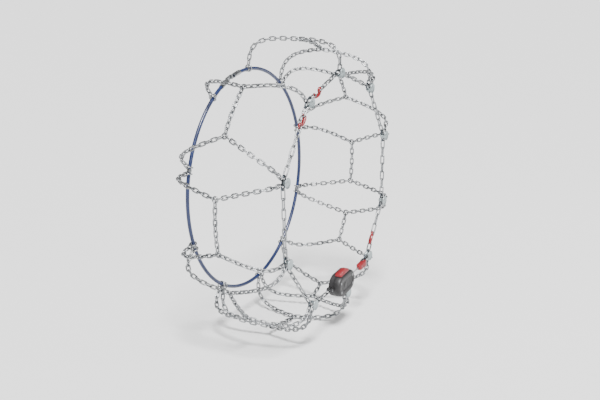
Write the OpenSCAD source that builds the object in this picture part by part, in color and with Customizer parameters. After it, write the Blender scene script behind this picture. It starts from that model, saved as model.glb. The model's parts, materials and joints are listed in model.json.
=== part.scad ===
// Snow chain set for one car tyre, drawn fitted and taut, with the tyre itself left out.
// Origin: the wheel's centre. Y: the wheel's axle, with the outer face of the wheel at -Y.
// Angles go round the wheel from +X towards +Z. Side pieces are drawn in a frame of
// their own: x along the chain, y towards the hub, z outward from the wheel.

/* [Tyre that the net fits] */
// Radius of the middle line of the chain on the tread
tread_r = 321; // [319:0.5:323]
// Distance from the wheel's middle plane to the outer rings and side chain
outer_y = 114; // [113:0.5:115]
// Distance from the wheel's middle plane to the inner hoop
inner_y = 112; // [111:0.5:113]
// Radius on which the outer rings stand
ring_r = 257; // [256:0.5:258]
// Squareness of the tyre's shoulder, as the power of a superellipse
shoulder = 3.5; // [3.2:0.1:3.6]

/* [Layout round the wheel, in degrees] */
// Outer rings, from the one after the closure, going down the front
ring_deg = [90, 52, 17.5, -18.6, -50.5, -79.5, -118.5, -157, -196, -236.5];
// Middle of the mesh that each ring holds
mesh_deg = [90, 52, 17.5, -18.6, -50.5, -79.5, -118.9, -157, -198.4, -236.5];
// Half the mesh, from its middle to the junction on the tread
mesh_half = [6, 10.5, 11.2, 7.3, 11.8, 8.9, 9, 9.2, 11.4, 6.2];

/* [Chain] */
// Wire of the tread chain and the side chain
wire = 3; // [2.8:0.1:3.2]
// Spacing of the tread links
tread_pitch = 12.6; // [12:0.1:13.2]
// Spacing of the side chain links
side_pitch = 18.5; // [18:0.1:19.5]
// Inside width of a link
link_in = 4.8; // [4.6:0.1:5]
// Slack between two links
play = 0.2; // [0.15:0.05:0.25]

/* [Rings and discs] */
// Wire of the long rings on the side
ring_wire = 3.6; // [3.4:0.1:3.8]
// Length of a long ring
ring_len = 33; // [32:0.5:35]
// Width of a long ring
ring_w = 14.6; // [14:0.1:15]
// Diameter of a bumper disc
disc_d = 23; // [21:0.5:24]
// Thickness of a bumper disc
disc_t = 2.4; // [2:0.1:3]

/* [Tensioner] */
// Length of the housing
case_len = 84; // [82:1:88]
// Width of the housing
case_w = 50; // [48:1:52]
// Depth of the housing, from the tyre side to the cover's face
case_h = 27; // [26:0.5:28]
// Wall of the base and the cover
wall = 2.2; // [2:0.1:2.4]
// Travel that the tension cord has in its link
slack = 8; // [7:0.5:9]
// Turn of the reel over that travel, in whole teeth of the ratchet wheel
reel_turn = 54; // [36:18:72]
// Travel of the lock slide
lock_travel = 5; // [4:0.5:5]

/* [Hidden] */

zinc = "silver";
dark_steel = "slategray";
red = "crimson";
charcoal = "dimgray";
blue = "midnightblue";

wr = wire / 2;
rr = ring_wire / 2;
link_half = link_in / 2 + wr;
ring_bar = ring_w / 2 - rr;
ring_bend = ring_len / 2 - rr - ring_bar;
steps = 48;
last = len(ring_deg) - 1;

// ---- small helpers ----
function unit(v) = v / norm(v);
function on_wheel(deg, r, y) = [r * cos(deg), y, r * sin(deg)];
function odd(x) = 2 * floor(x / 2) + 1;
function even(x) = 2 * round(x / 2);
function mid(a, b) = (a + b) / 2;

// Frame with x along `along` and z as near to `up` as it can be
module frame(at, along, up) {
  x = unit(along);
  y = unit(cross(up, x));
  z = cross(x, y);
  multmatrix([[x[0], y[0], z[0], at[0]], [x[1], y[1], z[1], at[1]], [x[2], y[2], z[2], at[2]]])
    children();
}

// Frame of a side piece: x forward round the wheel, y towards the hub, z outward
module side_frame(deg, r = ring_r, y = -outer_y) {
  frame(on_wheel(deg, r, y), [-sin(deg), 0, cos(deg)], [0, -1, 0]) children();
}

// ---- wire shapes, lying in the x-y plane ----
module bend(r, w) {
  rotate_extrude(angle = 180, $fn = 48) translate([r, 0]) circle(d = w, $fn = 32);
}

// Oval of wire: `straight` is the length of its straight sides and r the bend's middle line
module oval(straight, r, w) {
  for (side = [0, 1]) mirror([side, 0, 0]) {
    translate([straight / 2, 0, 0]) rotate([0, 0, -90]) bend(r, w);
  }
  for (side = [-1, 1]) translate([-straight / 2, side * r, 0]) rotate([0, 90, 0])
    cylinder(d = w, h = straight, $fn = 32);
}

module ring(r, w) {
  rotate_extrude($fn = 48) translate([r, 0]) circle(d = w, $fn = 32);
}

// Link between two points where it bears on its neighbours, edge on or flat to `up`
module link(a, b, up, edge) {
  span = norm(b - a) + 2 * (wr + play);
  frame(mid(a, b), b - a, up) rotate([edge ? 90 : 0, 0, 0])
    oval(span - 2 * link_half, link_half, wire);
}

// Straight chain of n links from a to b; the first link is edge on
module straight_chain(a, b, n, up) {
  for (i = [0:n - 1]) link(a + (b - a) * i / n, a + (b - a) * (i + 1) / n, up, i % 2 == 0);
}

// ---- the net on the tyre ----
junction_r = 6;
junction_w = 3.4;
junction_bite = junction_r - junction_w / 2;
hoop_r = 250;
hoop_d = 8;
eye_w = 3;
eye_in = 6;
eye_r = eye_in + eye_w / 2;
eye_lift = eye_in - hoop_d / 2 - play;
outer_end = [-outer_y, ring_r + ring_bar - rr];
inner_end = [inner_y, hoop_r + eye_lift + eye_in];
foot = 4;
eye_foot = 7;

// Point i of the tyre's section from the tread's middle to the side point [y, r]
function section(i, end) = let (t = 90 * i / steps)
  [end[0] * pow(sin(t), 2 / shoulder), end[1] + (tread_r - end[1]) * pow(cos(t), 2 / shoulder)];
function section_up(p, end) = let (n = shoulder - 1, h = tread_r - end[1])
  [pow(abs(p[0] / end[0]), n) / end[0], pow(max(p[1] - end[1], 0) / h, n) / h];
function reach(list, i = 1, sum = 0, out = [0]) = i == len(list) ? out :
  let (s = sum + norm(list[i] - list[i - 1])) reach(list, i + 1, s, concat(out, [s]));

// Chain from a junction on the tread, over the shoulder, to its point on the side
module shoulder_chain(from_deg, to_deg, end, even_count) {
  flat = [for (i = [0:steps]) section(i, end)];
  run = reach(flat);
  whole = run[steps];
  turn = [for (i = [0:steps]) from_deg + (to_deg - from_deg) * run[i] / whole];
  walk = reach([for (i = [0:steps]) on_wheel(turn[i], flat[i][1], flat[i][0])]);
  y_at = [for (i = [0:steps]) [walk[i], flat[i][0]]];
  r_at = [for (i = [0:steps]) [walk[i], flat[i][1]]];
  deg_at = [for (i = [0:steps]) [walk[i], turn[i]]];
  count = (walk[steps] - junction_bite) / tread_pitch;
  n = even_count ? even(count) : odd(count);
  gap = (walk[steps] - junction_bite) / n;
  for (i = [0:n - 1]) {
    s0 = junction_bite + gap * i;
    s1 = s0 + gap;
    sm = s0 + gap / 2;
    p = section_up([lookup(sm, y_at), lookup(sm, r_at)], end);
    d = lookup(sm, deg_at);
    link(on_wheel(lookup(s0, deg_at), lookup(s0, r_at), lookup(s0, y_at)),
      on_wheel(lookup(s1, deg_at), lookup(s1, r_at), lookup(s1, y_at)),
      [p[1] * cos(d), p[0], p[1] * sin(d)], i % 2 == 0);
  }
}

// All the shoulder chains of one ring: both halves of its mesh, outer and inner
module cross_chain(k) {
  sides = k == 0 ? [-1] : k == last ? [1] : [-1, 1];
  color(zinc) for (s = sides) {
    from = mesh_deg[k] + s * mesh_half[k];
    shoulder_chain(from, ring_deg[k] + s * foot / outer_end[1] * 180 / PI, outer_end, false);
    shoulder_chain(from, ring_deg[k] + s * eye_foot / inner_end[1] * 180 / PI, inner_end, true);
  }
}

// Chain along the tread from the mesh of ring k to that of ring k + 1
module tread_chain(k) {
  bite = junction_bite / tread_r * 180 / PI;
  from = mesh_deg[k] - mesh_half[k] - bite;
  to = mesh_deg[k + 1] + mesh_half[k + 1] + bite;
  n = odd((from - to) * PI / 180 * tread_r / tread_pitch);
  gap = (to - from) / n;
  color(zinc) for (i = [0:n - 1]) {
    d = from + gap * i;
    link(on_wheel(d, tread_r, 0), on_wheel(d + gap, tread_r, 0),
      on_wheel(d + gap / 2, 1, 0), i % 2 == 0);
  }
}

module junction_rings() {
  spots = concat([for (k = [0:last - 1]) mesh_deg[k] - mesh_half[k]],
    [for (k = [1:last]) mesh_deg[k] + mesh_half[k]]);
  color(zinc) for (d = spots) rotate([0, -d, 0]) translate([tread_r, 0, 0]) rotate([0, 90, 0])
    ring(junction_r, junction_w);
}

// ---- the outer side ----
module side_rings() {
  color(dark_steel) for (d = ring_deg) side_frame(d) oval(2 * ring_bend, ring_bar, ring_wire);
}

// Middle of a ring's end bend, on the side before (+1) or after (-1) it round the wheel
function bend_at(k, side) = let (d = ring_deg[k])
  on_wheel(d, ring_r, -outer_y) + side * ring_bend * [-sin(d), 0, cos(d)];
// Where a chain going from ring k towards point p bears on the ring
function bears(k, side, p) = bend_at(k, side)
  + (ring_bar - rr) * unit(p - bend_at(k, side));

disc_gap = 8.2;
disc_arm = 4.6;
eye_wall = 1.6;
// Bumper disc: a plate in front of the ring, on an eye that turns on the ring's hub side
module bumper_disc(k) {
  color("gainsboro") side_frame(ring_deg[k]) difference() {
    union() {
      translate([0, 0, disc_gap]) cylinder(d = disc_d, h = disc_t, $fn = 64);
      translate([-foot + 0.4, ring_bar - disc_arm / 2, 0]) cube([7.2, disc_arm, disc_gap + 1]);
      translate([-foot + 0.4, ring_bar, 0]) rotate([0, 90, 0])
        cylinder(r = rr + eye_wall, h = 7.2, $fn = 48);
    }
    translate([-foot - 1, ring_bar, 0]) rotate([0, 90, 0])
      cylinder(r = rr + 0.06, h = 12, $fn = 48);
  }
}

module side_run(a_ring, b_ring) {
  a = bears(a_ring, -1, bend_at(b_ring, 1));
  b = bears(b_ring, 1, bend_at(a_ring, -1));
  straight_chain(a, b, odd(norm(b - a) / side_pitch), [0, -1, 0]);
}

// Hooks of wire, lying in the side plane. The eye turns on the last link of a chain and
// the finger stands in a link that hangs on the ring.
hook_len = 25;
hook_bar = 6;
finger_d = 3.6;
eye_mid = 4.2;
eye_rod = 3.4;
eye_land = 0.1;
hook_off = 4.8;
hook_y = 2.6 + hook_bar / 2;
end_link = 19;
// Distance along the chain from the ring's bearing point to the hook's finger and eye
finger_at = end_link - play - finger_d / 2;
hook_eye_at = finger_at + hook_len;

// Ring k with a hook on its side: the direction in which its chain leaves
function leaves(k, side, p) = unit(p - bend_at(k, side));

module hook(at, away, side) {
  color(red) frame(at, -away, [0, -1, 0]) mirror([0, side > 0 ? 1 : 0, 0]) {
    difference() {
      ring(eye_mid, eye_rod);
      cylinder(r = eye_mid - eye_rod / 2 + eye_land, h = eye_rod, center = true, $fn = 64);
    }
    translate([eye_mid - 0.6, hook_y, 0]) rotate([0, 90, 0])
      cylinder(d = hook_bar, h = hook_len - eye_mid + 0.6, $fn = 32);
    for (x = [eye_mid - 0.6, hook_len]) translate([x, hook_y, 0]) sphere(d = hook_bar, $fn = 32);
    translate([hook_len, -3.6, 0]) rotate([-90, 0, 0])
      cylinder(d = finger_d, h = 3.6 + hook_y, $fn = 32);
    translate([hook_len, -3.6, 0]) sphere(d = finger_d, $fn = 32);
  }
}

// The chain from hook k to ring b, starting edge on at the hook's eye
module hooked_run(k, side, b_ring, b_side) {
  way = leaves(k, side, bend_at(b_ring, b_side));
  a = hook_place(k, side, b_ring, b_side) + (wr + play) * way;
  b = bears(b_ring, b_side, bend_at(k, side));
  straight_chain(a, b, odd(norm(b - a) / side_pitch), [0, -1, 0]);
}
function hook_place(k, side, b_ring, b_side) = bears(k, side, bend_at(b_ring, b_side))
  + hook_eye_at * leaves(k, side, bend_at(b_ring, b_side));

module hook_for(k, side, b_ring, b_side) {
  hook(hook_place(k, side, b_ring, b_side), leaves(k, side, bend_at(b_ring, b_side)), side);
}
module closing_hook() { hook_for(last, -1, 0, 1); }
module slack_hook() { hook_for(last, 1, last - 1, -1); }
module front_hook() { hook_for(4, 1, 3, -1); }

module side_chain_front() {
  color(zinc) {
    hooked_run(last, -1, 0, 1);
    for (k = [0:2]) side_run(k, k + 1);
    hooked_run(4, 1, 3, -1);
  }
}

module side_chain_rear() {
  color(zinc) {
    for (k = [6:last - 2]) side_run(k, k + 1);
    hooked_run(last, 1, last - 1, -1);
  }
}

// ---- the tensioner, on the line from ring 7 to ring 5 ----
line_from = bend_at(6, 1);
line_to = bend_at(4, -1);
line = unit(line_to - line_from);
line_len = norm(line_to - line_from);
case_mid = 130;
case_back = -7;
split_z = 3;
case_top = case_back + case_h;
case_y = -1;
case_r = case_w / 2;
case_bend = case_len / 2 - case_r;
cord_d = 2.4;
cord_z = 8;
wrap_r = slack * 180 / (reel_turn * PI);
reel_x = -8;
reel_y = -wrap_r;
hub_r = wrap_r - cord_d / 2 - 0.05;
flange_r = 14.4;
axle_r = 3;
fit = 0.05;
spring_hub_r = 5.2;
spring_z = 15;
spring_h = 2.4;
wheel_z = cord_z + 3.6;
wheel_h = 2.4;
wheel_r = 14.2;
wheel_root = 12;
teeth = 20;
pawl_spot = 54;
pawl_len = 15;
pawl_clear = 0.6;
pawl_pin_r = 1.5;
pin_x = -case_len / 2 - 7;
pin_r = 2;
fork_z = 2.4;
fork_top = 6.4;
screw_spots = [[-30, 10], [-30, -12], [29, -12], [29, 9]];
screw_r = 1.5;
boss_r = 3.4;
lock_x = -26;
lock_len = 42;
block_len = 34;
block_w = 15;
block_h = 13;
hook_reach = 6;

tension_link = slack + ring_wire + finger_d + 2 * play + 0.3;
ring_bite = line_len - (ring_bar - rr);
finger_x = ring_bite - tension_link + play + finger_d / 2 - case_mid;
block_end = finger_x - hook_reach;

module in_case() { frame(line_from + case_mid * line, line, [0, -1, 0]) children(); }

module case_outline(inset) {
  translate([0, case_y]) {
    for (s = [-1, 1]) translate([s * case_bend, 0]) circle(r = case_r - inset, $fn = 96);
    square([2 * case_bend, 2 * (case_r - inset)], center = true);
  }
}

module case_walls(z0, z1) {
  translate([0, 0, z0]) linear_extrude(z1 - z0) difference() {
    case_outline(0);
    case_outline(wall);
  }
}

// Eye on the base that holds the hub side of ring 6
module ring_lug() {
  side_frame(ring_deg[5]) difference() {
    union() {
      translate([-8.8, ring_bar, 0]) rotate([0, 90, 0]) cylinder(r = rr + 2, h = 3.8, $fn = 48);
      translate([-8.8, ring_bar, -2.4]) cube([3.8, 8.6, 4.8]);
    }
    translate([-10, ring_bar, 0]) rotate([0, 90, 0]) cylinder(r = rr + 0.3, h = 7, $fn = 48);
  }
}

module case_base() {
  color(charcoal) difference() {
    union() {
      in_case() {
        translate([0, 0, case_back]) linear_extrude(wall) case_outline(0);
        case_walls(case_back, split_z);
        for (p = screw_spots) translate([p[0], p[1], case_back])
          cylinder(r = boss_r, h = split_z - case_back, $fn = 48);
        for (z = [[case_back, -fork_z], [fork_z, fork_top]]) {
          translate([pin_x, -4, z[0]]) cube([6.9, 8, z[1] - z[0]]);
          translate([pin_x, 0, z[0]]) cylinder(r = 4, h = z[1] - z[0], $fn = 48);
        }
        for (z = [[case_back, -fork_z], [fork_z, split_z]])
          translate([pin_x, -4, z[0]]) cube([9.2, 8, z[1] - z[0]]);
      }
      ring_lug();
    }
    in_case() {
      translate([pin_x, 0, case_back - 1]) cylinder(r = pin_r, h = case_h, $fn = 48);
      for (p = screw_spots) translate([p[0], p[1], case_back + wall])
        cylinder(r = screw_r, h = case_h, $fn = 48);
    }
  }
}

module case_cover() {
  color(charcoal) in_case() difference() {
    union() {
      case_walls(split_z, case_top);
      translate([0, 0, case_top - wall]) linear_extrude(wall) case_outline(0);
      for (p = screw_spots) translate([p[0], p[1], split_z])
        cylinder(r = boss_r, h = case_h - 11, $fn = 48);
    }
    // Cord exit, screw holes with their head seats, and the slot for the lock
    translate([case_len / 2 - 2 * wall, 0, cord_z]) rotate([0, 90, 0])
      cylinder(d = cord_d + 0.8, h = 4 * wall, $fn = 48);
    for (p = screw_spots) translate([p[0], p[1], split_z - 1]) {
      cylinder(r = screw_r + 0.15, h = case_h, $fn = 48);
      translate([0, 0, case_top - split_z - 0.4]) cylinder(r = 3, h = 3, $fn = 48);
    }
    translate([lock_x + lock_len - lock_travel - 4, case_y + case_r - 2 * wall, wheel_z - 0.4])
      cube([lock_travel + 5, 3 * wall, wheel_h + 0.8]);
  }
}

module cover_screws() {
  color(zinc) in_case() for (p = screw_spots) translate([p[0], p[1], 0]) {
    translate([0, 0, case_back + wall + 0.5])
      cylinder(r = screw_r - 0.05, h = case_h - wall - 1, $fn = 48);
    difference() {
      translate([0, 0, case_top - 1.4]) cylinder(r = 2.8, h = 1.6, $fn = 48);
      translate([-3, -0.4, case_top - 0.5]) cube([6, 0.8, 2]);
    }
  }
}

module anchor_pin() {
  color(zinc) in_case() {
    translate([pin_x, 0, case_back + 0.5]) cylinder(r = pin_r - 0.05, h = 12.9, $fn = 48);
    translate([pin_x, 0, fork_top]) cylinder(r = 3, h = 1.4, $fn = 48);
  }
}

module on_reel() { in_case() translate([reel_x, reel_y, 0]) children(); }

module reel_axle() {
  color(zinc) on_reel() translate([0, 0, case_back + wall])
    cylinder(r = axle_r, h = case_h - 2 * wall, $fn = 64);
}

module reel() {
  color("black") on_reel() difference() {
    union() {
      for (z = [cord_z - 3.2, cord_z + 2]) translate([0, 0, z])
        cylinder(r = flange_r, h = 1.2, $fn = 96);
      translate([0, 0, cord_z - 3.2]) cylinder(r = hub_r, h = 6, $fn = 96);
      translate([0, 0, cord_z]) cylinder(r = spring_hub_r, h = spring_z + spring_h - cord_z, $fn = 64);
      translate([0, 0, case_back + wall + 0.5]) cylinder(r = 5, h = 10, $fn = 64);
    }
    translate([0, 0, case_back]) cylinder(r = axle_r + fit, h = case_h, $fn = 64);
  }
}

module reel_cord() { color(dark_steel) on_reel() translate([0, 0, cord_z]) ring(wrap_r, cord_d); }

// One gap of the ratchet wheel: out, down to the root, along it and out again
gap_edges = [[-7, wheel_r], [-3.5, wheel_root], [4.5, wheel_root], [6, wheel_r]];
module ratchet_wheel() {
  color(zinc) on_reel() translate([0, 0, wheel_z]) linear_extrude(wheel_h) difference() {
    polygon([for (i = [0:teeth - 1]) for (e = gap_edges)
      let (a = pawl_spot + 360 / teeth * i + e[0]) e[1] * [cos(a), sin(a)]]);
    circle(r = spring_hub_r + fit, $fn = 64);
  }
}

// Flat spiral from the reel's hub to the cover
spring_turns = 4;
spring_t = 0.7;
module mainspring() {
  grow = flange_r - 0.6 - spring_hub_r;
  edge = [for (i = [0:16 * spring_turns]) let (a = 22.5 * i)
    [a, spring_hub_r + 0.5 + (grow - 0.5) * i / (16 * spring_turns)]];
  color(dark_steel) on_reel() translate([0, 0, spring_z]) linear_extrude(spring_h)
    polygon(concat([for (e = edge) e[1] * [cos(e[0]), sin(e[0])]],
      [for (i = [len(edge) - 1:-1:0]) let (e = edge[i]) (e[1] + spring_t) * [cos(e[0]), sin(e[0])]]));
}

pawl_x = reel_x + (wheel_r + pawl_clear) * cos(pawl_spot) + pawl_len * sin(pawl_spot);
pawl_y = reel_y + (wheel_r + pawl_clear) * sin(pawl_spot) - pawl_len * cos(pawl_spot);
module pawl() {
  tail_x = 7 - pawl_x;
  color(zinc) in_case() translate([pawl_x, pawl_y, wheel_z]) linear_extrude(wheel_h) difference() {
    union() {
      circle(r = 3.4, $fn = 48);
      rotate(pawl_spot + 90)
        polygon([[0, -3], [16.2, -4.8], [16.2, -2.2], [15.5, 0], [14.5, 0], [14, -2.2], [0, 2]]);
      polygon([[-3, 0], [tail_x - 1.5, 16 - pawl_y], [tail_x + 1.5, 16 - pawl_y], [3, 0]]);
    }
    circle(r = pawl_pin_r + fit, $fn = 48);
  }
}

module pawl_pin() {
  color(zinc) in_case() translate([pawl_x, pawl_y, case_back + wall])
    cylinder(r = pawl_pin_r, h = case_h - 2 * wall, $fn = 48);
}

// Bent leaf between the pawl's hub and a screw boss
leaf_x = 17.2;
module pawl_spring() {
  color(dark_steel) in_case() {
    translate([leaf_x, -14, wheel_z]) cube([0.6, 18, wheel_h]);
    translate([leaf_x, -14, wheel_z]) cube([8.6, 0.6, wheel_h]);
  }
}

// Red slide on the hub side of the cover; its finger pushes the pawl's tail
module lock_slide() {
  y = case_y + case_r;
  color(red) in_case() {
    translate([lock_x, y + 0.3, wheel_z - 9]) cube([lock_len, 6.2, 15]);
    translate([lock_x + lock_len - 3, y - 12, wheel_z]) cube([3, 12.6, wheel_h]);
    translate([lock_x + lock_len - 9, y - wall - 1.8, wheel_z - 2]) cube([8, 1.4, wheel_h + 4]);
    for (i = [0:5]) translate([lock_x + 8 + 4 * i, y + 6.4, wheel_z - 9]) cube([2, 1.2, 15]);
  }
}

module tension_cord() {
  start = reel_x + wrap_r;
  color(dark_steel) in_case() translate([start, 0, cord_z]) rotate([0, 90, 0])
    cylinder(d = cord_d, h = block_end - block_len + 6 - start, $fn = 48);
}

module pull_block() {
  x0 = block_end - block_len;
  color(red) in_case() difference() {
    union() {
      translate([x0 + 3, -block_w / 2, cord_z - block_h / 2]) cube([block_len - 3, block_w, block_h]);
      translate([x0, -block_w / 2 + 2, cord_z - block_h / 2 + 2])
        cube([4, block_w - 4, block_h - 4]);
    }
    translate([x0 - 1, 0, cord_z]) rotate([0, 90, 0]) cylinder(d = cord_d + 0.1, h = 7.1, $fn = 48);
    translate([block_end - 8, hook_off - 2.5, cord_z - 2.1]) cube([9, 5, 4.2]);
    translate([block_end - slack - 2, -2.2, -2]) cube([slack + 3, 4.4, 7.9]);
  }
}

// Steel hook out of the block, down to the plane of the rings and through the link
module tension_hook() {
  color(dark_steel) in_case() {
    translate([block_end - 7.8, hook_off, cord_z]) rotate([0, 90, 0])
      cylinder(d = 4, h = 7.8 + hook_reach, $fn = 32);
    translate([finger_x, hook_off, 0]) cylinder(d = 4, h = cord_z, $fn = 32);
    for (z = [0, cord_z]) translate([finger_x, hook_off, z]) sphere(d = 4, $fn = 32);
    translate([finger_x, -3.6, 0]) rotate([-90, 0, 0])
      cylinder(d = finger_d, h = 3.6 + hook_off, $fn = 32);
    translate([finger_x, -3.6, 0]) sphere(d = finger_d, $fn = 32);
  }
}

// Links on the rings that the hooks stand in
module end_links() {
  color(zinc) {
    for (h = [[last, -1, 0, 1], [last, 1, last - 1, -1], [4, 1, 3, -1]]) {
      to = bend_at(h[2], h[3]);
      a = bears(h[0], h[1], to);
      link(a, a + end_link * leaves(h[0], h[1], to), [0, -1, 0], true);
    }
    a = bears(4, -1, line_from);
    link(a, a - tension_link * line, [0, -1, 0], true);
  }
}

module side_chain_tensioner() {
  a = bears(6, 1, line_to);
  b = line_from + (case_mid + pin_x + pin_r) * line;
  n = even(norm(b - a) / side_pitch);
  color(zinc) straight_chain(a, b, n, [0, -1, 0]);
}

// ---- the inner side ----
clasp_deg = 106.8;
hoop_gap = 3.2;
hoop_inset = 0.4;
sleeve_deg = 6;
tongue_x = 8;
clasp_t = 3;

module hoop_arc(from, turn, d, hole) {
  translate([0, inner_y, 0]) rotate([90, 0, 0]) rotate([0, 0, from])
    rotate_extrude(angle = turn, $fn = 180) translate([hoop_r, 0]) difference() {
      circle(d = d, $fn = 48);
      if (hole > 0) circle(d = hole, $fn = 48);
    }
}

module hoop() {
  from = hoop_gap + hoop_inset;
  color(blue) hoop_arc(clasp_deg + from, 360 - 2 * from, hoop_d, 0);
}

module in_clasp() { frame(on_wheel(clasp_deg, hoop_r, inner_y), [-sin(clasp_deg), 0, cos(clasp_deg)],
  [0, 1, 0]) children(); }

// Crimped sleeves on the hoop's ends, each with a tongue and a stud for the clasp
module hoop_sleeves() {
  color(zinc) {
    for (a = [clasp_deg + hoop_gap, clasp_deg - hoop_gap - sleeve_deg])
      hoop_arc(a, sleeve_deg, hoop_d + 2.6, hoop_d + 0.1);
    reach_x = hoop_r * hoop_gap * PI / 180 + 0.8;
    in_clasp() for (s = [0, 1]) mirror([s, 0, 0]) {
      translate([tongue_x - 3, -4.6, -1.5]) cube([reach_x - tongue_x + 3, 9.2, 3]);
      translate([tongue_x, 0, -1.5]) cylinder(r = 2, h = 3.4 + clasp_t, $fn = 48);
    }
  }
}

module hoop_clasp() {
  color(zinc) in_clasp() translate([0, 0, 1.8]) linear_extrude(clasp_t) difference() {
    union() {
      translate([-tongue_x, 0]) circle(r = 4.5, $fn = 48);
      translate([-tongue_x, -4.5]) square([tongue_x + 12.5, 9]);
    }
    translate([-tongue_x, 0]) circle(r = 2.05, $fn = 48);
    translate([tongue_x, 0]) circle(r = 2.3, $fn = 48);
    polygon([[tongue_x - 2.3, 0], [tongue_x + 2.3, 0], [tongue_x + 2.3, -5], [tongue_x - 4.2, -5]]);
  }
}

module hoop_rings() {
  color(zinc) for (k = [0:last], s = k == 0 ? [-1] : k == last ? [1] : [-1, 1]) {
    d = ring_deg[k] + s * eye_foot / inner_end[1] * 180 / PI;
    frame(on_wheel(d, hoop_r + eye_lift, inner_y), [0, 1, 0], [-sin(d), 0, cos(d)])
      ring(eye_r, eye_w);
  }
}

module hoop_ferrules() {
  color(zinc) for (d = ring_deg) hoop_arc(d - 0.8, 1.6, hoop_d + 2.4, hoop_d + 0.1);
}

for (k = [0:last]) {
  cross_chain(k);
  bumper_disc(k);
}
for (k = [0:last - 1]) {
  tread_chain(k);
}
junction_rings();
side_rings();
side_chain_front();
side_chain_rear();
side_chain_tensioner();
end_links();
closing_hook();
slack_hook();
front_hook();
hoop();
hoop_sleeves();
hoop_clasp();
hoop_rings();
hoop_ferrules();
case_base();
case_cover();
cover_screws();
anchor_pin();
reel_axle();
reel();
reel_cord();
ratchet_wheel();
mainspring();
pawl();
pawl_pin();
pawl_spring();
lock_slide();
tension_cord();
pull_block();
tension_hook();
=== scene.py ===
"""Looks of the snow chain net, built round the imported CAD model.

The frame is in metres. Shapes are drawn in local millimetres and placed in it.
"""
import json
import math

import bmesh
import bpy
import numpy as np
from mathutils import Matrix, Vector


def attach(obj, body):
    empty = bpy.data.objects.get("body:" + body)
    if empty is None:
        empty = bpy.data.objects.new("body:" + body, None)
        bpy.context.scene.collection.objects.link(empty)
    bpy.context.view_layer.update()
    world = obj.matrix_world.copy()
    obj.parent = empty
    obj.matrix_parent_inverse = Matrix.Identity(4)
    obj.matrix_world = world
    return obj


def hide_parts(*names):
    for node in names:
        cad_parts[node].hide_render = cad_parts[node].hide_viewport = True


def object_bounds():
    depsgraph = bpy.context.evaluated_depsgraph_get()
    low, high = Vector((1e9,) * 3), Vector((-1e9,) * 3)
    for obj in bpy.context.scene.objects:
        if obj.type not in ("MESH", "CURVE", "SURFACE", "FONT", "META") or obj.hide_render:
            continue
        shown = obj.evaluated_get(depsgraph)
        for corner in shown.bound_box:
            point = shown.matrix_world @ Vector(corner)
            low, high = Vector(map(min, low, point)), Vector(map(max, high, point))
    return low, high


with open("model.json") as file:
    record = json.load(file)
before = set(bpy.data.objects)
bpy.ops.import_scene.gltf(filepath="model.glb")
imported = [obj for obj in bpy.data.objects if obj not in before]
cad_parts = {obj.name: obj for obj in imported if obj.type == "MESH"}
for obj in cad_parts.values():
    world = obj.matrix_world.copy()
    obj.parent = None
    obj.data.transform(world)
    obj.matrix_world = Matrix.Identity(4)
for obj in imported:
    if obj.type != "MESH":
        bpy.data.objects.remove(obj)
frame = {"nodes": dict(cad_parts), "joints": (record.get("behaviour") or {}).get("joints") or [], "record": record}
cad_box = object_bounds()
NODES = frame["nodes"]
JOINTS = {j["name"]: j for j in frame["joints"]}
MM = 0.001

# ---- camera, at the photograph's viewing angle ----
camera = bpy.data.objects.new("camera", bpy.data.cameras.new("camera"))
bpy.context.collection.objects.link(camera)
camera.location = (-1.9634, -1.0505, 0.5682)
camera.rotation_euler = Vector((0.8546, 0.448, -0.2626)).to_track_quat("-Z", "Y").to_euler()
camera.data.lens = 61.51
camera.data.sensor_width = 36
camera.data.clip_end = 1000
bpy.context.scene.camera = camera


# ---- materials ----
class Nodes:
    """A small builder for a Principled material with object-space textures."""

    def __init__(self, name):
        self.mat = bpy.data.materials.new(name)
        self.mat.use_nodes = True
        self.tree = self.mat.node_tree
        self.shader = self.tree.nodes["Principled BSDF"]
        self.coord = self.tree.nodes.new("ShaderNodeTexCoord").outputs["Object"]

    def new(self, kind, **inputs):
        n = self.tree.nodes.new(kind)
        for k, v in inputs.items():
            n.inputs[k].default_value = v
        return n

    def link(self, a, b):
        self.tree.links.new(a, b)

    def noise(self, scale, detail):
        n = self.new("ShaderNodeTexNoise", Scale=scale, Detail=detail)
        self.link(self.coord, n.inputs["Vector"])
        return n.outputs["Fac"]

    def ramp(self, fac, stops):
        """Two colours, each with its place on the ramp."""
        r = self.new("ShaderNodeValToRGB")
        for element, (at, colour) in zip(r.color_ramp.elements, stops):
            element.position = at
            element.color = (*colour, 1)
        self.link(fac, r.inputs["Fac"])
        return r.outputs["Color"]

    def spread(self, fac, low, high):
        """The middle of a noise, stretched from low to high."""
        m = self.new("ShaderNodeMapRange")
        m.inputs["From Min"].default_value = 0.3
        m.inputs["From Max"].default_value = 0.7
        m.inputs["To Min"].default_value = low
        m.inputs["To Max"].default_value = high
        self.link(fac, m.inputs["Value"])
        return m.outputs["Result"]

    def mix(self, fac, under, colour):
        """A plain colour laid over another node's colour."""
        m = self.new("ShaderNodeMix")
        m.data_type = "RGBA"
        self.link(fac, m.inputs["Factor"])
        self.link(under, m.inputs["A"])
        m.inputs["B"].default_value = (*colour, 1)
        return m.outputs["Result"]

    def math(self, operation, value, *numbers):
        """An operation on a node's value and plain numbers."""
        m = self.new("ShaderNodeMath")
        m.operation = operation
        self.link(value, m.inputs[0])
        for i, number in enumerate(numbers):
            m.inputs[i + 1].default_value = number
        return m.outputs[0]

    def bump(self, height, distance, strength, under=None):
        b = self.new("ShaderNodeBump", Strength=strength, Distance=distance)
        self.link(height, b.inputs["Height"])
        if under is not None:
            self.link(under, b.inputs["Normal"])
        return b.outputs["Normal"]


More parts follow.
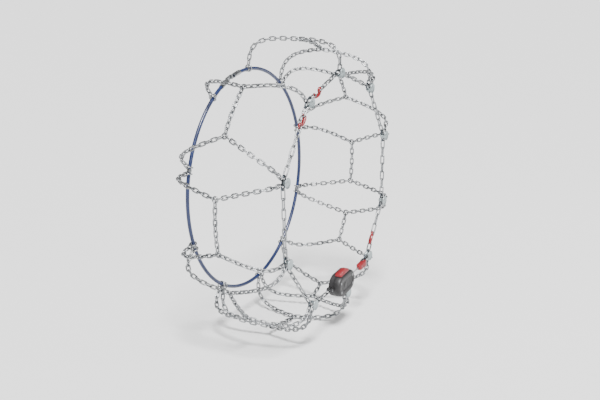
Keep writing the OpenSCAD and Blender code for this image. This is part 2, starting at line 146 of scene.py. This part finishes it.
def metal(name, dark, light, rough, spangle=260, bump=0.00006):
    """Metal whose colour drifts from link to link, with a fine grain and dulled patches."""
    n = Nodes(name)
    cells = n.new("ShaderNodeTexVoronoi", Scale=spangle)
    n.link(n.coord, cells.inputs["Vector"])
    patch = n.noise(spangle / 6, 5.0)
    fine = n.noise(900, 6.0)
    base = n.ramp(patch, [(0.32, dark), (0.68, light)])
    colour = n.mix(n.spread(cells.outputs["Distance"], 0.0, 0.22), base, light)
    n.link(colour, n.shader.inputs["Base Color"])
    n.link(n.spread(n.noise(spangle / 3, 4.0), rough[0], rough[1]), n.shader.inputs["Roughness"])
    n.shader.inputs["Metallic"].default_value = 1.0
    n.link(n.bump(fine, bump, 0.6), n.shader.inputs["Normal"])
    return n.mat


def plastic(name, dark, light, rough, grain=700, bump=0.00008, coat=0.0, scuff=None):
    """Moulded plastic or paint: fine spark-eroded grain, slow drift of colour and gloss."""
    n = Nodes(name)
    base = n.ramp(n.noise(45, 5.0), [(0.3, dark), (0.7, light)])
    if scuff:
        marks = n.ramp(n.noise(120, 9.0), [(0.60, (0, 0, 0)), (0.72, (1, 1, 1))])
        base = n.mix(marks, base, scuff)
    n.link(base, n.shader.inputs["Base Color"])
    n.link(n.spread(n.noise(90, 6.0), rough[0], rough[1]), n.shader.inputs["Roughness"])
    n.shader.inputs["Coat Weight"].default_value = coat
    n.link(n.bump(n.noise(grain, 3.0), bump, 0.5), n.shader.inputs["Normal"])
    return n.mat


def stranded(name, direction, pitch, dark, light, rough, depth):
    """Steel strands of a cord: bands across a direction, with painted shade darkening the grooves between strands.
    """
    n = Nodes(name)
    turn = n.new("ShaderNodeVectorMath")
    turn.operation = "DOT_PRODUCT"
    n.link(n.coord, turn.inputs[0])
    turn.inputs[1].default_value = direction
    wave = n.math("SINE", n.math("MULTIPLY", turn.outputs["Value"], 2 * math.pi / pitch))
    strand_height_and_shade = n.math("MULTIPLY_ADD", wave, 0.5, 0.5)
    # Painted shade: the colour follows the strands' height, darker in the grooves than on the crowns
    n.link(n.ramp(strand_height_and_shade, [(0.05, dark), (0.5, light)]), n.shader.inputs["Base Color"])
    n.link(n.spread(n.noise(300, 4.0), rough[0], rough[1]), n.shader.inputs["Roughness"])
    n.shader.inputs["Metallic"].default_value = 1.0
    grain = n.bump(n.noise(1200, 3.0), 0.00004, 0.4)
    n.link(n.bump(strand_height_and_shade, depth, 0.8, grain), n.shader.inputs["Normal"])
    return n.mat


slide = Vector(JOINTS["cord_slack"]["axis"])
MATS = {
    "zinc": metal("zinc", (0.15, 0.16, 0.17), (0.40, 0.41, 0.42), (0.22, 0.40)),
    "dark_steel": metal("dark_steel", (0.035, 0.045, 0.055), (0.095, 0.11, 0.125), (0.28, 0.42)),
    "disc_steel": metal("disc_steel", (0.30, 0.35, 0.36), (0.44, 0.49, 0.50), (0.36, 0.50),
                        spangle=120, bump=0.00004),
    "red_paint": plastic("red_paint", (0.15, 0.001, 0.004), (0.23, 0.002, 0.007), (0.28, 0.42),
                         grain=500, coat=0.5, scuff=(0.10, 0.002, 0.004)),
    "red_plastic": plastic("red_plastic", (0.17, 0.001, 0.005), (0.24, 0.002, 0.008), (0.40, 0.54),
                           coat=0.15),
    "case_plastic": plastic("case_plastic", (0.010, 0.009, 0.010), (0.019, 0.018, 0.019),
                            (0.42, 0.60), grain=900, bump=0.00012, scuff=(0.027, 0.025, 0.026)),
    "reel_plastic": plastic("reel_plastic", (0.016, 0.016, 0.017), (0.03, 0.03, 0.031), (0.4, 0.55)),
    # The cord's darker colour is painted shade for the grooves between its strands
    "cord": stranded("cord", tuple(slide * 0.8 + Vector((0, 0.42, 0.42))), 1.9 * MM,
                     (0.16, 0.17, 0.18), (0.58, 0.60, 0.61), (0.28, 0.42), 0.0004),
    "spring_steel": metal("spring_steel", (0.16, 0.17, 0.20), (0.34, 0.35, 0.38), (0.25, 0.4)),
    "blue_sheath": plastic("blue_sheath", (0.004, 0.011, 0.05), (0.007, 0.019, 0.085), (0.28, 0.42),
                           grain=400, coat=0.2),
}
node_slot = {s["node"]: s["material_slot"] for s in frame["record"]["subparts"]}
for node, o in NODES.items():
    if not o.material_slots:
        o.data.materials.append(MATS[node_slot[node]])
    for s in o.material_slots:
        s.material = MATS[node_slot[node]]


# ---- shapes ----
def finish_piece(name, verts, faces, place, body, slot, nodes=(), smooth=40):
    """A mesh put in the frame by `place`, riding on a CAD body, sharp above `smooth` degrees."""
    mesh = bpy.data.meshes.new(name)
    mesh.from_pydata([place @ Vector(v) for v in verts], [], faces)
    o = bpy.data.objects.new(name, mesh)
    bpy.context.collection.objects.link(o)
    bm = bmesh.new()
    bm.from_mesh(mesh)
    bmesh.ops.remove_doubles(bm, verts=bm.verts, dist=1e-6)
    bmesh.ops.recalc_face_normals(bm, faces=bm.faces)
    bm.to_mesh(mesh)
    bm.free()
    mesh.materials.append(MATS[slot])
    mesh.shade_smooth()
    if smooth < 180:
        mesh.set_sharp_from_angle(angle=math.radians(smooth))
    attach(o, body)
    if nodes:
        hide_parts(*nodes)
    return o


def turns(count):
    """Angles of one whole turn, in equal steps."""
    return [2 * math.pi * i / count for i in range(count)]


class Shape:
    """Points and faces gathered in local millimetres."""

    def __init__(self):
        self.v, self.f = [], []

    def rings(self, rows, closed=False):
        """Skin between rows of points: capped, or closed with the last row joined to the first."""
        at, n = len(self.v), len(rows[0])
        for r in rows:
            self.v += [tuple(p) for p in r]
        for i in range(len(rows) if closed else len(rows) - 1):
            a, b = at + i * n, at + (i + 1) % len(rows) * n
            self.f += [(a + j, a + (j + 1) % n, b + (j + 1) % n, b + j) for j in range(n)]
        if not closed:
            self.f.append(tuple(range(at, at + n))[::-1])
            self.f.append(tuple(range(at + (len(rows) - 1) * n, at + len(rows) * n)))
        return self

    def lathe(self, profile, turn=Matrix(), sides=64):
        """Turns (radius, height) points about z; the profile is a closed loop."""
        rows = []
        for a in turns(sides):
            c, s = math.cos(a), math.sin(a)
            rows.append([turn @ Vector((r * c, r * s, z)) for r, z in profile])
        return self.rings(rows, closed=True)

    def sweep(self, path, radii, sides=22):
        """Round wire along a path, with a radius at each of its points."""
        rows, up = [], None
        for i, (p, r) in enumerate(zip(path, radii)):
            before = path[max(i - 1, 0)]
            after = path[min(i + 1, len(path) - 1)]
            t = (after - before).normalized()
            if up is None:
                up = Vector((0, 0, 1)) if abs(t.z) < 0.9 else Vector((1, 0, 0))
            up = (up - t * up.dot(t)).normalized()
            side = t.cross(up)
            rows.append([p + r * (math.cos(a) * side + math.sin(a) * up) for a in turns(sides)])
        return self.rings(rows)


def rounded_path(points, radius, steps=8):
    """A path with each corner rounded by a curve that starts that far before it."""
    pts = [Vector(p) for p in points]
    out = [pts[0]]
    for a, b, c in zip(pts, pts[1:], pts[2:]):
        cut = min(radius, (a - b).length / 2, (c - b).length / 2)
        p, q = b + (a - b).normalized() * cut, b + (c - b).normalized() * cut
        for i in range(steps + 1):
            t = i / steps
            out.append(p * (1 - t) ** 2 + b * 2 * t * (1 - t) + q * t ** 2)
    return out + [pts[-1]]


def end_rounding(path, radius, steps=5):
    """Path and radii with a half ball at each end."""
    path = [Vector(p) for p in path]
    a, b = (path[0] - path[1]).normalized(), (path[-1] - path[-2]).normalized()
    angles = [math.pi / 2 * (i + 0.4) / steps for i in range(steps)]
    head = [path[0] + a * radius * math.cos(t) for t in angles]
    tail = [path[-1] + b * radius * math.cos(t) for t in reversed(angles)]
    radii = [radius * math.sin(t) for t in angles]
    return head + path + tail, radii + [radius] * len(path) + radii[::-1]


def place_frame(at, x, z):
    """Local millimetres to the frame: x along x, z as near as can be to z."""
    x, z = Vector(x).normalized(), Vector(z)
    y = z.cross(x).normalized()
    z = x.cross(y)
    m = Matrix((x, y, z)).transposed().to_4x4()
    return Matrix.Translation(at) @ m @ Matrix.Scale(MM, 4)


OUT = Vector((0, -1, 0))
# The long rings, from the hinge lines of the discs that hang on them
RINGS = 10
RING_BAR = 5.5  # from a ring's middle to its straight bar
RING_BEND = 9.2  # from a ring's middle to the middle of its end bend
ring_at, ring_to = [], []
for k in range(RINGS):
    j = JOINTS[f"disc_swing_{k + 1:02d}"]
    p = Vector(j["pos_m"])
    away = Vector((p.x, 0, p.z)).normalized()
    ring_at.append(p + away * RING_BAR * MM)
    ring_to.append(Vector(j["axis"]))


def bend_at(k, side):
    """Middle of one end bend of a long ring."""
    return ring_at[k] + ring_to[k] * side * RING_BEND * MM


# ---- discs: a stamped dish with a rolled rim on a folded strap ----
STRAP_X = 0.4
for k in range(RINGS):
    name = f"bumper_disc_{k + 1:02d}"
    s = Shape()
    s.lathe([(0.01, 9.9), (3.2, 9.85), (4.1, 9.5), (5.0, 9.35), (8.6, 9.55), (9.7, 10.2),
             (10.6, 10.6), (11.2, 10.45), (11.5, 9.9), (11.4, 9.2), (10.9, 8.7), (10.2, 8.6),
             (9.5, 8.4), (8.4, 8.2), (4.6, 8.2), (0.01, 8.4)])
    along = Matrix.Translation((STRAP_X, RING_BAR, 0)) @ Matrix.Rotation(math.pi / 2, 4, "Y")
    s.lathe([(1.88, -3.6), (3.1, -3.6), (3.4, -3.3), (3.4, 3.3), (3.1, 3.6), (1.88, 3.6)], along, 32)
    strap = [(3.35, 2.4), (3.35, 8.35), (5.2, 8.6), (7.6, 8.35), (7.6, 2.4)]
    s.rings([[(x, y + (thinner if y < 5 else -thinner), z) for y, z in strap]
             for x, thinner in ((-3.2, 0.25), (-2.9, 0.25), (STRAP_X, 0), (3.7, 0.25), (4.0, 0.25))])
    place = place_frame(ring_at[k], ring_to[k], OUT)
    finish_piece(f"stamped_disc_{k + 1:02d}", s.v, s.f, place, name, "disc_steel", [name])

# ---- red hooks: forged, with a round eye, a swelling shank and a bent finger ----
# Name, the ring and side that the finger reaches to, and the ring and side that the eye's chain is on
HOOKS = (("closing_hook", 9, -1, 0, 1), ("slack_hook", 9, 1, 8, -1), ("front_hook", 4, 1, 3, -1))
FINGER_X = 25.0  # from a hook's eye to its finger
FINGER_R = 1.8
BACK_OUT, BACK_DEPTH = 0.4, 1.3  # times the depth of a cross-section
for name, k, side, to, to_side in HOOKS:
    away = (bend_at(to, to_side) - bend_at(k, side)).normalized()
    flip = -1 if side > 0 else 1
    s = Shape().lathe([(2.45, -0.9), (3.0, -1.9), (4.2, -2.4), (5.8, -2.3), (6.7, -1.5), (6.9, 0.0),
                       (6.7, 1.5), (5.8, 2.3), (4.2, 2.4), (3.0, 1.9), (2.45, 0.9)], sides=48)
    # Forged back between eye and finger: place along it, half height, depth and middle of each
    # cross-section. It stands out further than it goes in.
    back = [(2.0, 1.3, 1.9, 4.6), (4.0, 1.9, 2.5, 4.8), (7.0, 2.5, 3.1, 5.3), (12.0, 2.9, 3.5, 5.7),
            (18.0, 2.9, 3.5, 5.7), (22.0, 2.7, 3.2, 5.4), (25.0, 2.3, 2.7, 5.0), (26.6, 1.6, 1.9, 4.7),
            (27.2, 0.7, 0.9, 4.6)]
    s.rings([[(x, flip * (y + h * math.cos(a)), d * (BACK_OUT + BACK_DEPTH * math.sin(a)))
              for a in turns(28)] for x, h, d, y in back])
    s.sweep(*end_rounding([(FINGER_X, flip * y, 0) for y in (4.8, 2.6, 0.5, -1.6, -3.6)], FINGER_R))
    place = place_frame(Vector(JOINTS[name + "_swing"]["pos_m"]), -away, OUT)
    finish_piece("forged_" + name, s.v, s.f, place, name, "red_paint", [name], smooth=50)

# ---- tensioner ----
toward_hub = OUT.cross(slide)
reel = Vector(JOINTS["reel_turn"]["pos_m"])
REEL_R = 8.488  # from the reel's axis to the middle of the cord on it
REEL_X, REEL_Y, CORD_Z = -8.0, -REEL_R, 8.0
case = place_frame(reel - (slide * REEL_X + toward_hub * REEL_Y + OUT * CORD_Z) * MM, slide, OUT)
CASE_Y = -1.0
CASE_R = 25.0  # of the case's round ends
CASE_BEND = 17.0  # from the case's middle to the middle of a round end
SPLIT = 3.0  # height at which the cover meets the base


def stadium(inset, z):
    """The case's outline at a height, drawn in by `inset`."""
    pts = []
    for a in turns(96):
        side = 1 if math.cos(a) >= 0 else -1
        pts.append((side * CASE_BEND + (CASE_R - inset) * math.cos(a),
                    CASE_Y + (CASE_R - inset) * math.sin(a), z))
    return pts


profile = [(0.35, SPLIT), (0.0, SPLIT + 0.5), (0.0, 9.0), (0.25, 13.0), (0.7, 16.0), (1.5, 18.0),
           (2.7, 19.2), (4.2, 19.8), (5.4, 20.0), (13.2, 20.0), (13.7, 19.6), (14.3, 19.1), (15.0, 19.0)]
cover = Shape().rings([stadium(i, z) for i, z in profile])
# A plain raised boss on the cover
cap = Matrix.Translation((REEL_X, REEL_Y + 7.5, 0))
cover.lathe([(0.01, 19.6), (6.6, 19.6), (7.2, 19.3), (7.4, 18.6), (0.01, 18.6)], cap, 48)
finish_piece("cover_shell", cover.v, cover.f, case, "net", "case_plastic", ["case_cover"])

mouth = Matrix.Translation((CASE_BEND + CASE_R, 0, CORD_Z)) @ Matrix.Rotation(math.pi / 2, 4, "Y")
grommet = Shape().lathe([(1.5, -1.2), (3.6, -1.2), (3.8, 0.4), (3.2, 1.6), (2.3, 2.2), (1.5, 1.8)],
                        mouth, 40)
finish_piece("cord_mouth", grommet.v, grommet.f, case, "net", "reel_plastic", smooth=50)

# Lock slide: crowned, with rounded ridges across it
LOCK_Y = CASE_Y + CASE_R + 0.3  # where the button starts, just clear of the case
LOCK_TOP = 6.2
LOCK_X, LOCK_HALF = -5, 19  # its middle, and half the length that keeps its width
RIDGES = 7
RIDGE_PITCH = 4
RIDGE_X = -22
edge = [(-26.0, LOCK_Y), (-26.0, LOCK_Y + 3.4), (-25.2, LOCK_Y + 5.0), (-23.4, LOCK_Y + 5.9)]
for i in range(60):
    x = RIDGE_X + RIDGES * RIDGE_PITCH * i / 59
    ridge = 0.6 + 0.55 * math.cos(2 * math.pi * (x - RIDGE_X) / RIDGE_PITCH)
    edge.append((x, LOCK_Y + LOCK_TOP + ridge))
edge += [(9.0, LOCK_Y + LOCK_TOP), (13.6, LOCK_Y + 5.6), (15.4, LOCK_Y + 4.4), (16.0, LOCK_Y + 2.8),
         (16.0, LOCK_Y)]


def drawn_in(x, y, z, inset):
    """A point of the button's edge, moved in at its ends and its top."""
    if abs(x - LOCK_X) > LOCK_HALF:
        x -= math.copysign(inset, x - LOCK_X)
    if y > LOCK_Y + 4:
        y -= inset
    return x, y, z


heights = ((2.6, 0.9), (2.9, 0.4), (3.6, 0.0), (10.1, 0.0), (16.6, 0.0), (17.3, 0.4), (17.6, 0.9))
lock = Shape().rings([[drawn_in(x, y, z, inset) for x, y in edge] for z, inset in heights])
finish_piece("lock_button", lock.v, lock.f, case, "lock", "red_plastic", ["lock_slide"], smooth=55)


def loop(x, half_y, half_z, strand_height_and_shade=0.0):
    """Cross-section of the grip: an oblong with round corners."""
    pts = []
    for a in turns(48):
        c, s = math.cos(a), math.sin(a)
        grow = (abs(c) ** 5 + abs(s) ** 5) ** (-1 / 5)
        pts.append((x, half_y * grow * c, CORD_Z + strand_height_and_shade + half_z * grow * s))
    return pts


# Pull grip: a collar, a grooved body and a raised end
BLOCK_END, BLOCK_LEN = 118.6, 34.0
BLOCK_START = BLOCK_END - BLOCK_LEN
GROOVE_PITCH = 3.6
GRIP = (7.5, 6.5)  # half width and half depth of its body
block = Shape()
stations = [(0.0, 3.6, 3.2), (0.3, 4.4, 4.0), (1.6, 5.3, 4.7), (3.0, 5.6, 4.9), (3.2, 6.4, 5.5),
            (3.8, 7.1, 6.1), (5.4, *GRIP), (9.0, *GRIP)]
for g in range(4):
    x = 10.0 + GROOVE_PITCH * g
    stations += [(x, *GRIP), (x + 0.6, 7.0, 6.1), (x + 1.8, 6.95, 6.05), (x + 2.4, *GRIP)]
# Stepped up at the end, so that it passes over the link as the hook moves in it
stations += [(23.5, *GRIP), (23.9, 7.5, 4.3, 2.2), (28.0, 7.5, 4.3, 2.2), (32.4, 7.4, 4.2, 2.2),
             (33.5, 7.0, 3.9, 2.2), (34.0, 6.2, 3.4, 2.2)]
block.rings([loop(BLOCK_START + x, *size) for x, *size in stations])
pull = finish_piece("pull_grip", block.v, block.f, case, "tension_end", "red_plastic", ["pull_block"],
                    smooth=50)

# The tension cord's hook: out of the grip, down beside the link and through it
hook_x = max((case.inverted() @ v.co).x for v in NODES["tension_hook"].data.vertices) - 2.0
hook_y = 4.8
wire = rounded_path([(BLOCK_END - 7.8, hook_y, CORD_Z), (hook_x, hook_y, CORD_Z), (hook_x, hook_y, 0),
                     (hook_x, -3.6, 0)], 3.2, 10)
hook = Shape().sweep(*end_rounding(wire, FINGER_R))
finish_piece("tension_finger", hook.v, hook.f, case, "tension_end", "dark_steel", ["tension_hook"],
             smooth=60)

# The cord, taut from the reel to inside the red grip
CORD_D = 2.4
start, stop = REEL_X + REEL_R, BLOCK_START + 6.0
curve = bpy.data.curves.new("steel_cord", "CURVE")
curve.dimensions = "3D"
curve.bevel_depth = CORD_D / 2 * MM
curve.bevel_resolution = 6
curve.use_fill_caps = True
spline = curve.splines.new("POLY")
count = 24
spline.points.add(count - 1)
for i in range(count):
    p = case @ Vector((start + (stop - start) * i / (count - 1), 0, CORD_Z))
    spline.points[i].co = (*p, 1)
cord = bpy.data.objects.new("steel_cord", curve)
bpy.context.collection.objects.link(cord)
curve.materials.append(MATS["cord"])
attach(cord, "tension_end")
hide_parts("tension_cord")


# ---- weld beads: one on the side of every chain link ----
MERGE = 2e-6
CHAINS = ("cross_chain", "tread_chain", "side_chain", "end_links")


def islands(points, edges):
    """Number of the loose piece that each point belongs to, points at one place joined."""
    key = np.round(points / MERGE).astype(np.int64)
    _, same = np.unique(key, axis=0, return_inverse=True)
    same = same.reshape(-1)
    label = np.arange(same.max() + 1)
    a, b = same[edges[:, 0]], same[edges[:, 1]]
    while True:
        low = np.minimum(label[a], label[b])
        new = label.copy()
        np.minimum.at(new, a, low)
        np.minimum.at(new, b, low)
        new = new[new]
        if (new == label).all():
            return label[same]
        label = new


def mesh_values(items, attribute, width, kind):
    """An attribute of all of a mesh's items, one row for each."""
    values = np.empty(len(items) * width, kind)
    items.foreach_get(attribute, values)
    return values.reshape(-1, width)


beads = Shape()
FORWARD = Vector((0.3, 1, 0.2))
# Along a link's side, and how far it stands out of the wire
BEAD = [(-1.5, 0.0), (-1.1, 0.16), (-0.5, 0.3), (0.5, 0.3), (1.1, 0.16), (1.5, 0.0)]
for node in sorted(NODES):
    if not node.startswith(CHAINS):
        continue
    mesh = NODES[node].data
    co = mesh_values(mesh.vertices, "co", 3, np.float64)
    label = islands(co, mesh_values(mesh.edges, "vertices", 2, np.int64))
    for number, piece in enumerate(np.unique(label)):
        pts = np.unique(np.round(co[label == piece], 7), axis=0)
        centre = pts.mean(0)
        _, axes = np.linalg.eigh(np.cov((pts - centre).T))
        reach = [np.ptp(pts @ axes[:, i]) for i in range(3)]
        order = np.argsort(reach)
        thick, wide, long = (float(reach[i]) for i in order)
        is_link = long >= 1.15 * wide and wide >= 1.5 * thick
        if not is_link:
            continue
        # Either axis may come out the wrong way round. Once they are set, the beads change sides in turn.
        along, across = Vector(axes[:, order[2]]), Vector(axes[:, order[1]])
        if along.dot(FORWARD) < 0:
            along = -along
        if across.dot(Vector(centre)) > 0:
            across = -across
        if number % 2:
            across = -across
        radius = thick / 2
        at = Vector(centre) + across * (wide / 2 - radius)
        up = along.cross(across)
        beads.rings([[at + along * x * MM + (radius + h * MM) * (math.cos(t) * across + math.sin(t) * up)
                      for t in turns(14)] for x, h in BEAD])
finish_piece("weld_beads", beads.v, beads.f, Matrix(), "net", "zinc", smooth=180)

# ---- stage ----
low = min(cad_box[0][2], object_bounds()[0][2])
FAR = 300
floor_mesh = bpy.data.meshes.new("floor")
floor_mesh.from_pydata([(-FAR, -FAR, low), (FAR, -FAR, low), (FAR, FAR, low), (-FAR, FAR, low)], [],
                       [(0, 1, 2, 3)])
floor = bpy.data.objects.new("floor", floor_mesh)
bpy.context.collection.objects.link(floor)
paper = bpy.data.materials.new("paper")
paper.use_nodes = True
paper_shader = paper.node_tree.nodes["Principled BSDF"]
paper_shader.inputs["Base Color"].default_value = (0.86, 0.86, 0.86, 1)
paper_shader.inputs["Roughness"].default_value = 0.9
floor_mesh.materials.append(paper)

world = bpy.data.worlds.new("studio")
bpy.context.scene.world = world
world.use_nodes = True
background = world.node_tree.nodes["Background"]
background.inputs["Color"].default_value = (1, 1, 1, 1)
background.inputs["Strength"].default_value = 0.42
sun = bpy.data.objects.new("daylight", bpy.data.lights.new("daylight", "SUN"))
bpy.context.collection.objects.link(sun)
sun.rotation_euler = Vector((0.42, 0.30, -1.0)).to_track_quat("-Z", "Y").to_euler()
sun.data.energy = 7.0
sun.data.angle = math.radians(16)
for name, at, size, power in (("key", (-2.4, -2.0, 1.6), 0.9, 34), ("side", (0.6, -2.6, 1.2), 0.7, 16)):
    light = bpy.data.objects.new(name, bpy.data.lights.new(name, "AREA"))
    bpy.context.collection.objects.link(light)
    light.location = at
    light.rotation_euler = (-Vector(at)).to_track_quat("-Z", "Y").to_euler()
    light.data.size = size
    light.data.energy = power
